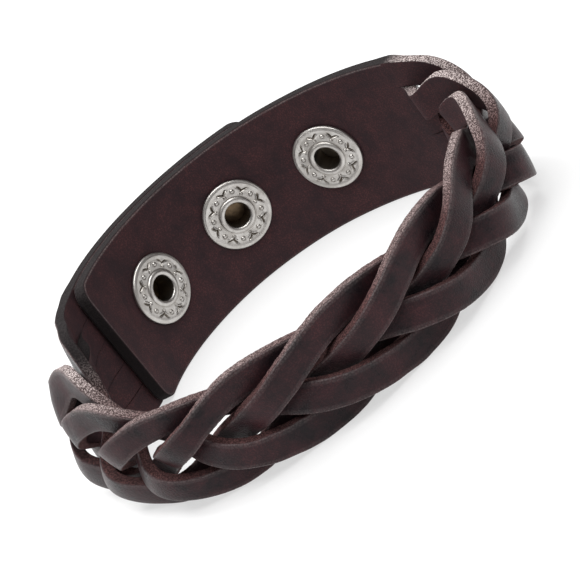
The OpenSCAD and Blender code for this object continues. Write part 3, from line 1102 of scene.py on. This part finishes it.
    def half_width(self, k: int, s: np.ndarray, joined: np.ndarray) -> np.ndarray:
        """Half of strand k's width at each station.

        Args:
            k: Number of the strand, from 0.
            s: Places of the stations.
            joined: How far each station belongs to a tab.

        Returns:
            Half widths, one for each station.
        """
        p = self.sizes
        slim = smooth((s - p.slim_from) / p.slim_over) * smooth((p.slim_to - s) / p.slim_over)
        wide = p.wide_by * sum(bump(s, place, p.slim_over) for place in p.wide_at)
        width = mix(p.strand_width, p.end_width, self.near_end(s)) - p.slim_by * slim + wide
        width = mix(width / 2, self.strap.width / p.count / 2 - self.strap.slit, joined)
        waves = wander(s.shape, (self.width_waves, 1), self.width_seed + k)
        return width + p.unevenness * waves * (1 - joined)

    def strand(self, k: int) -> bpy.types.Object:
        """Sweeps the section of strand k along its way.

        A point across the strand lies square to its run, at its own place and height, and
        from there out along the strand's own surface normal by its place in the thickness.

        Args:
            k: Number of the strand, from 0.

        Returns:
            The finished piece.
        """
        strap, p = self.strap, self.sizes
        ring = self.section()
        grain, across, cut = ring["grain"], ring["across"], ring[Mark.CUT]
        s = np.linspace(strap.plait_from, strap.plait_to, self.stations)[:, None]
        joined = np.maximum(1 - smooth((s - strap.plait_from) / p.joined_over),
                            1 - smooth((strap.plait_to - s) / p.joined_over))
        width = self.half_width(k, s, joined)
        thick = mix(strap.thickness - p.thin_by, strap.thickness, joined) / 2
        soft = mix(1.0, p.joined_round, joined)
        top, under = self.grain_round * soft, self.flesh_round * soft
        corner = grain * top + (1 - grain) * under
        u = across * (width - corner) + ring["round_u"] * corner
        v = grain * (thick - top) - (1 - grain) * (thick - under) + ring["round_v"] * corner
        v = v + p.crown * (1 - across**2) * grain * (1 - joined)
        fuzz = wander(u.shape, (self.fuzz_waves, len(cut) // 2), self.fuzz_seed + k) * p.fuzz
        u = u + np.sign(across) * fuzz * cut * (1 - joined)
        step = self.probe
        rise = self.height(k, s + step) - self.height(k, s - step)
        slope = np.arctan(rise / (2 * step))
        es = s - u * np.sin(slope)
        ez = self.height(k, s) + u * np.cos(slope)
        hs = (self.out(k, es + step, ez) - self.out(k, es - step, ez)) / (2 * step)
        hz = (self.out(k, es, ez + step) - self.out(k, es, ez - step)) / (2 * step)
        length = np.sqrt(hs**2 + 1 + hz**2)
        points = self.plan.place(
            es - v * hs / length,
            self.out(k, es, ez) + v / length,
            np.maximum(ez - v * hz / length, 0.0),
        ).reshape(-1, 3)
        columns = len(cut)
        j = np.arange(columns // 2 - 1)
        end = np.stack([j, j + 1, columns - 2 - j, columns - 1 - j], axis=-1)
        quads = np.concatenate([MeshMaker.tube(self.stations, columns), end[:, ::-1],
                                end + (self.stations - 1) * columns])
        marks = {m: np.tile(ring[m], self.stations) for m in (Mark.FLESH, Mark.CUT, Mark.RIM)}
        upper = self.rank(k, p.last_step) >= p.waxed_rank
        waxed = np.maximum(upper * smooth((s - p.waxed_from) / p.waxed_over), joined)
        marks[Mark.BURNISH] = np.broadcast_to(waxed, u.shape).ravel()
        return MeshMaker.build(f"strand_{k + 1}_leather", points, quads, marks)

    def build(self) -> None:
        """Makes the five strands and hands them over."""
        for k in range(self.sizes.count):
            self.shop.hand_over(self.strand(k), f"strand_{k + 1}", True)


@dataclass(frozen=True)
class ReliefSizes:
    """Embossing of a flange, in millimetres and shares.

    Each ring of beads is its radius, the beads' radius and its turn in steps of the pattern.
    The darks are shares of the recess colour: dirt and painted shade in the grooves and round the
    beads' feet.
    """

    count: int = 8
    band: Pair = (2.72, 4.4)
    band_soft: float = 0.2
    groove_at: float = 4.02
    cusp: float = 0.62
    cusp_power: float = 1.5
    groove_end: float = 0.84
    groove_fade: float = 0.35
    groove_half: float = 0.12
    groove_depth: float = 0.20
    groove_dark: float = 0.9
    lip_in: float = 0.27
    lip_half: float = 0.13
    lip_rise: float = 0.11
    beads: tuple[tuple[float, float, float], ...] = ((3.40, 0.28, 0.5), (2.98, 0.19, 0.0))
    bead_rise: float = 0.17
    foot_out: float = 0.03
    foot_half: float = 0.06
    foot_depth: float = 0.03
    foot_dark: float = 0.40


@dataclass
class Snaps:
    """Embossed eyelets, the free stud and the domed caps; hidden parts keep their solids."""

    plan: LoopPlan
    strap: StrapSizes
    sizes: SnapSizes
    shop: Workshop
    embossing: ReliefSizes = ReliefSizes()
    around: int = 288

    @property
    def turns(self) -> np.ndarray:
        """Angles of the points round a snap's axis."""
        return 2 * np.pi * np.arange(self.around) / self.around

    def lathe(self, name: str, place: float, r: np.ndarray, h: np.ndarray, closed: bool,
              recess: np.ndarray, lift: np.ndarray | float = 0.0) -> bpy.types.Object:
        """Turns a profile round a snap's axis.

        Args:
            name: Name of the piece.
            place: The snap's place along the line.
            r: Radii of the profile.
            h: Distances outwards from the line.
            closed: Whether the profile closes on itself; otherwise both its ends lie on the axis.
            recess: How dark each profile point is, as dirt and painted shade, or one value for each
                point of the grid.
            lift: Height added to each point of the grid.

        Returns:
            The finished piece.
        """
        along, out = self.plan.axes(place)
        centre = self.plan.place(np.array(place), np.array(0.0), np.array(self.strap.width / 2))
        grid = (len(r), self.around)
        turn = self.turns
        rows = np.broadcast_to(h[:, None] + lift, grid)
        ray = np.cos(turn)[:, None] * along + np.sin(turn)[:, None] * np.array([0.0, 0.0, 1.0])
        flat = r[:, None, None] * ray
        points = (centre + MM * (flat + rows[..., None] * out)).reshape(-1, 3)
        quads = MeshMaker.tube(*grid)
        last = (len(r) - 1) * self.around
        if closed:
            j = np.arange(self.around)
            nxt = (j + 1) % self.around
            quads = np.concatenate([quads, np.stack([last + j, last + nxt, nxt, j], axis=-1)])
        else:
            quads = np.where(quads < self.around, 0, quads)
            quads = np.where(quads >= last, last, quads)
        dark = recess if recess.ndim == 2 else recess[:, None]
        marks = {Mark.RECESS: np.broadcast_to(dark, grid).ravel()}
        return MeshMaker.build(name, points, quads, marks)

    def relief(self, r: np.ndarray) -> tuple[np.ndarray, np.ndarray]:
        """Embossing between collar and rim: scalloped grooves that point inwards, and beads.

        A groove is a bell-shaped valley round a wavy radius; a bead is a small dome.

        Args:
            r: Radii of the profile.

        Returns:
            Height added towards the wrist, and darkness of dirt and painted shade, on the grid.
        """
        e = self.embossing
        rr, tt = np.meshgrid(r, self.turns, indexing="ij")
        inner, outer = e.band
        band = smooth((rr - inner) / e.band_soft) * smooth((outer - rr) / e.band_soft)
        side = abs(np.sin(e.count * tt / 2))
        wavy = e.groove_at - e.cusp * (1.0 - side) ** e.cusp_power
        here = smooth((e.groove_end - side) / e.groove_fade)
        groove = bump(rr, wavy, e.groove_half) * here
        lip = bump(rr, wavy - e.lip_in, e.lip_half) * here
        height = e.lip_rise * lip - e.groove_depth * groove
        dark = e.groove_dark * groove
        for ring, size, shift in e.beads:
            middle = (np.round(tt / (2 * np.pi) * e.count - shift) + shift) * 2 * np.pi / e.count
            away = np.hypot(rr - ring, ring * (tt - middle))
            bead = np.sqrt(clamp(1 - (away / size) ** 2))
            height = np.where(bead > 0, np.maximum(height, 0) + e.bead_rise * bead, height)
            foot = bump(away, size + e.foot_out, e.foot_half)
            height = height - e.foot_depth * foot
            dark = np.where(bead > 0, 0, np.maximum(dark, e.foot_dark * foot))
        return height * band, dark * band

    def eyelet(self, number: int) -> bpy.types.Object:
        """Flange with rolled collar and embossed band, and its barrel through the leather.

        The profile runs along the bore to the wrist side, over the rolled collar, out along
        the embossed band, round the rim, and back under the flange to the barrel.
        """
        z = self.sizes
        face, back, edge = z.flange_face, z.flange_back, z.flange_roll
        barrel_top = z.knob_top - z.knob_lid - z.barrel_gap
        bore_h = np.linspace(barrel_top, face + 0.02, 14)
        roll = np.radians(np.linspace(180, 8, 15))
        roll_r = (z.bore + z.collar) / 2 + (z.collar - z.bore) / 2 * np.cos(roll)
        roll_h = face - z.collar_rise * np.sin(roll) ** 0.8
        band_r = np.linspace(*z.band, 60)
        band_h = face - 0.03 - 0.05 * np.sin(np.pi * clamp((band_r - 3.9) / 1.1)) ** 2
        rim = np.radians(np.linspace(100, -5, 10))
        rim_r = z.flange - edge + edge * np.cos(rim)
        rim_h = face + 0.24 - 0.26 * np.sin(rim)
        back_r = [z.flange, z.flange - 0.05, z.barrel, z.barrel]
        back_h = [back - 0.04, back, back, barrel_top]
        r = np.concatenate([np.full(len(bore_h), z.bore), roll_r, band_r, rim_r, back_r])
        h = np.concatenate([bore_h, roll_h, band_h, rim_h, back_h])
        row = np.arange(len(r))
        band_from = len(bore_h) + len(roll_h)
        band_to = band_from + len(band_h)
        facing = ((row >= band_from) & (row < band_to))[:, None]
        height, dark = self.relief(r)
        # dirt and painted shade: the bore darkens towards its closed end, and the grooves, the
        # beads' feet and the collar's crease are darker
        deep = np.zeros(len(r))
        deep[:len(bore_h)] = np.linspace(*z.bore_dark, len(bore_h))
        crease = 0.55 * bump(r, *z.crease)
        dirt_and_painted_shade = np.maximum(np.where(facing, dark, 0.0), np.maximum(deep, crease)[:, None])
        lift = np.where(facing, -height, 0.0)
        place = self.strap.snap(number)
        return self.lathe(f"eyelet_{number}_flange", place, r, h, True, dirt_and_painted_shade, lift)

    def free_stud(self) -> bpy.types.Object:
        """The stud that no socket covers: plate, narrow neck and rolled knob with a closed top."""
        z = self.sizes
        floor = z.seat_play - z.seat_depth
        top = floor + z.plate_thickness
        inside, lid = z.barrel + z.fit, z.knob_top - z.knob_lid
        knob = np.radians(np.linspace(-60, 120, 14))
        plate = [(0.0, lid), (inside, lid), (inside, floor), (z.plate - 0.05, floor),
                 (z.plate, floor + 0.05), (z.plate, top - 0.12), (z.plate - 0.12, top)]
        neck = [(z.neck + 0.35, top), (z.neck + 0.1, top + 0.05), (z.neck, top + 0.2),
                (z.neck, 0.4)]
        roll = np.stack([z.knob - z.knob_roll + z.knob_roll * np.cos(knob),
                         z.knob_top - 0.24 + 0.24 * np.sin(knob)], axis=1)
        dish = [(z.knob - 0.6, z.knob_top - 0.02), (z.knob - 0.9, z.knob_top - 0.1),
                (0.0, z.knob_top - 0.1)]
        r, h = np.concatenate([plate, neck, roll, dish]).T
        # dirt and painted shade in the crease at the neck, and painted shade under the closed top
        # seen down the hole
        crease = 0.5 * bump(h, top + 0.05, 0.12) * (r < z.neck + 0.4)
        dirt_and_painted_shade = np.maximum(crease, 0.8 * (np.arange(len(r)) < 2))
        return self.lathe("stud_3_knob", self.strap.snap(3), r, h, False, dirt_and_painted_shade)

    def cap(self, number: int) -> bpy.types.Object:
        """Domed cap with a rolled rim, a shallow step inside it and a post beneath."""
        z = self.sizes
        seat, edge = z.cap_seat + z.seat_play, z.cap_roll
        dome_r = np.linspace(0.0, z.dome, 40)
        share = dome_r / z.dome
        dome_h = seat + z.cap_rise - z.dome_fall * share**2 * (1 + 0.25 * share**4) / 1.25
        rim = np.radians(np.linspace(110, -90, 18))
        dome = np.stack([dome_r, dome_h], axis=1)
        step = [(5.12, dome_h[-1] - 0.05), (5.2, dome_h[-1] - 0.07), (5.28, dome_h[-1] - 0.03)]
        roll = np.stack([z.cap - edge + edge * np.cos(rim), seat + edge + edge * np.sin(rim)], 1)
        post = [(5.0, seat), (z.post, seat), (z.post, seat - 0.3), (z.post - 0.05, seat - 0.35),
                (0.0, seat - 0.35)]
        r, h = np.concatenate([dome, step, roll, post]).T
        # dirt and painted shade in the step inside the rim
        dirt_and_painted_shade = 0.55 * bump(r, 5.2, 0.1) * (h > seat + 0.1)
        return self.lathe(f"cap_{number}_dome", self.strap.snap(number), r, h, False, dirt_and_painted_shade)

    def build(self, nodes: dict[str, bpy.types.Object]) -> None:
        """Makes the snap parts that show, and dresses the hidden solids in bare brass, darkened as
        painted shade where it shows at the bottom of the holes.

        Args:
            nodes: The frame's solids by name.
        """
        for number in (1, 2, 3):
            self.shop.hand_over(self.eyelet(number), f"eyelet_{number}", False)
        for number in (1, 2):
            self.shop.hand_over(self.cap(number), f"cap_{number}", False)
        self.shop.hand_over(self.free_stud(), "stud_3", False)
        for name in ("stud_1", "stud_2", "socket_1", "socket_2"):
            nodes[name].data.materials.clear()
            nodes[name].data.materials.append(self.shop.finishes.bare)
            LOG.info("%s keeps its solid", name)


@dataclass(frozen=True)
class Lamp:
    """One soft white light: where it stands and its size, in metres, and its power in watts."""

    name: str
    place: tuple[float, float, float]
    size: Pair
    power: float


@dataclass
class Studio:
    """Pale floor, soft lights and the camera of the photograph.

    The camera's angles are radians, its distance and shift millimetres, and its focal
    length, aim and frame pixels. The floor's sizes are metres.
    """

    elevation: float = 0.37188
    roll: float = -0.66204
    distance: float = 360.19
    focal: float = 2643.0
    pixels_per_mm: float = 7.338
    aim: Pair = (281.02, 269.56)
    frame: float = 580.0
    shift: Pair = (0.84, 25.26)
    sensor: float = 36.0
    clip: Pair = (0.01, 50.0)
    floor_half: float = 4.0
    floor_below: float = 0.00004
    floor_glow: float = 0.60
    floor_tints: tuple[Colour, Colour] = ((0.30, 0.30, 0.30), (0.33, 0.33, 0.33))
    floor_cloud: float = 60.0
    floor_roughness: float = 0.9
    surround: float = 0.34
    lamps: tuple[Lamp, ...] = (
        Lamp("key_light", (-0.30, 0.50, 0.60), (0.25, 0.25), 4.0),
        Lamp("top_light", (0.0, 0.05, 0.80), (0.9, 0.9), 10.0),
        Lamp("left_light", (-0.48, -0.14, 0.12), (0.16, 0.12), 0.25),
        Lamp("front_light", (0.10, -0.45, 0.55), (0.12, 0.10), 0.8),
    )

    def floor(self) -> None:
        """A wide pale floor just under the bracelet."""
        half, down = self.floor_half, -self.floor_below
        points = [(x * half, y * half, down) for x, y in ((-1, -1), (1, -1), (1, 1), (-1, 1))]
        mesh = bpy.data.meshes.new("studio_floor")
        mesh.from_pydata(points, [], [(0, 1, 2, 3)])
        piece = bpy.data.objects.new("studio_floor", mesh)
        bpy.context.scene.collection.objects.link(piece)
        material, sheet, shader, place = Finishes.start("pale_floor")
        tint = sheet.blend(sheet.noise(place, self.floor_cloud), *self.floor_tints)
        sheet.feed(shader.inputs["Base Color"], tint)
        shader.inputs["Roughness"].default_value = self.floor_roughness
        shader.inputs["Emission Color"].default_value = WHITE
        shader.inputs["Emission Strength"].default_value = self.floor_glow
        mesh.materials.append(material)

    def light(self) -> None:
        """Area lights that face the bracelet, and an even bright surround."""
        for lamp in self.lamps:
            data = bpy.data.lights.new(lamp.name, "AREA")
            data.shape = "RECTANGLE"
            data.size, data.size_y = lamp.size
            data.energy = lamp.power
            item = bpy.data.objects.new(lamp.name, data)
            item.location = lamp.place
            item.rotation_euler = (-Vector(lamp.place)).to_track_quat("-Z", "Y").to_euler()
            bpy.context.scene.collection.objects.link(item)
        world = bpy.data.worlds.new("studio")
        world.use_nodes = True
        sky = world.node_tree.nodes["Background"]
        sky.inputs["Color"].default_value = WHITE
        sky.inputs["Strength"].default_value = self.surround
        bpy.context.scene.world = world
        bpy.context.scene.view_settings.view_transform = "Standard"

    def camera(self) -> None:
        """The camera at the photograph's place: turned down, rolled, and aimed by its pixels."""
        e, q = self.elevation, self.roll
        ahead = np.array([0.0, np.cos(e), -np.sin(e)])
        right = np.array([1.0, 0.0, 0.0])
        up = np.array([0.0, np.sin(e), np.cos(e)])
        across = np.cos(q) * right + np.sin(q) * up
        above = -np.sin(q) * right + np.cos(q) * up
        aside = (np.array(self.aim) - self.frame / 2) / self.pixels_per_mm
        eye = -self.distance * ahead - across * aside[0] + above * aside[1]
        eye = (eye + np.array([*self.shift, 0.0])) * MM
        data = bpy.data.cameras.new("photo_camera")
        data.sensor_width = self.sensor
        data.lens = self.focal * self.sensor / self.frame
        data.clip_start, data.clip_end = self.clip
        item = bpy.data.objects.new("photo_camera", data)
        turned = np.eye(4)
        turned[:3] = np.stack([across, above, -ahead, eye], axis=1)
        item.matrix_world = Matrix(turned.tolist())
        bpy.context.scene.collection.objects.link(item)
        bpy.context.scene.camera = item

    def build(self) -> None:
        """Sets up the camera, the floor and the lights."""
        self.camera()
        self.floor()
        self.light()


def main() -> None:
    """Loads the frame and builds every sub-assembly in order."""
    logging.basicConfig(level=logging.INFO, format="%(name)s: %(message)s")
    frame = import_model()
    strap, snap_sizes = StrapSizes(), SnapSizes()
    plan = LoopPlan(strap.loop)
    # tarnished brass, darkened further as painted shade at the bottom of the holes
    brass = SnapMetal(name="brass_darkened_as_shade", bright=(0.14, 0.098, 0.06), wear_and_top_light=(0.06, 0.043, 0.028),
                      roughness=(0.28, 0.42))
    shop = Workshop(Finishes(Leather(), SnapMetal(), brass))
    Studio().build()
    Tabs(plan, strap, snap_sizes, shop).build()
    Plait(plan, strap, PlaitSizes(), shop).build()
    Snaps(plan, strap, snap_sizes, shop).build(frame["nodes"])


if __name__ == "__main__":
    main()
